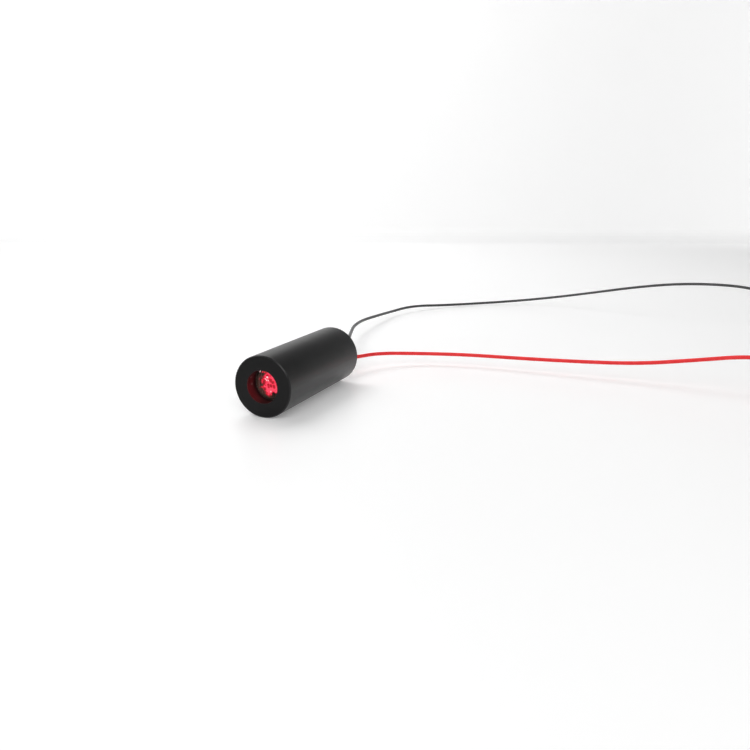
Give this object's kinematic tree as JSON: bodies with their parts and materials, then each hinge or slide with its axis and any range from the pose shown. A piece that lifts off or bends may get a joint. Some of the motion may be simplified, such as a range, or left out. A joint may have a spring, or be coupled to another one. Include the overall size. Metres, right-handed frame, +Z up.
{
  "type": "laser diode module",
  "caption": "Cylindrical red laser diode module in a black metal barrel with a cross-line optic in front and two loose flying leads behind.",
  "frame": {"origin": "on the optical axis, at the middle of the barrel's length", "axes": "+Y along the barrel from the optic to the leads, so the beam leaves along -Y; +Z up from the surface that the barrel lies on, 6 mm under the axis"},
  "size_m": [0.1467, 0.1541, 0.012],
  "materials": {
    "black_anodised": "black anodised, matt satin",
    "clear_optic": "clear moulded, lit red from behind",
    "brass": "turned",
    "lens_glass": "polished",
    "spring_steel": "drawn wire",
    "gilt_steel": "gold plated",
    "nickel": "nickel plated",
    "ceramic": "fired",
    "semiconductor": "polished",
    "seal_glass": "fused",
    "board_green": "solder mask",
    "chip_black": "moulded",
    "capacitor_tan": "fired",
    "solder": "bright",
    "sleeve_film": "amber film",
    "plug_black": "cast resin",
    "lead_red": "soft insulation, satin",
    "lead_black": "soft insulation, satin",
    "tinned_copper": "tinned"
  },
  "bodies": {
    "root": {"housing": "black_anodised", "cross_line_optic": "clear_optic", "optic_ring": "brass", "diode_holder": "brass", "lens_cell": "brass", "collimating_lens": "lens_glass", "lens_ring": "brass", "focus_spring": "spring_steel", "diode_header": "gilt_steel", "diode_can": "nickel", "diode_window": "lens_glass", "laser_submount": "ceramic", "laser_chip": "semiconductor", "monitor_photodiode": "semiconductor", "pin_seals": "seal_glass", "diode_pins": "gilt_steel", "driver_board": "board_green", "driver_chip": "chip_black", "regulator_transistor": "chip_black", "resistor_1": "chip_black", "resistor_2": "chip_black", "resistor_3": "chip_black", "capacitor_1": "capacitor_tan", "capacitor_2": "capacitor_tan", "pin_solder": "solder", "lead_solder": "solder", "insulating_sleeve": "sleeve_film", "rear_plug": "plug_black", "red_lead": "lead_red", "red_lead_coil": "lead_red", "red_lead_tip": "tinned_copper", "black_lead": "lead_black", "black_lead_tip": "tinned_copper"}
  },
  "joints": []
}
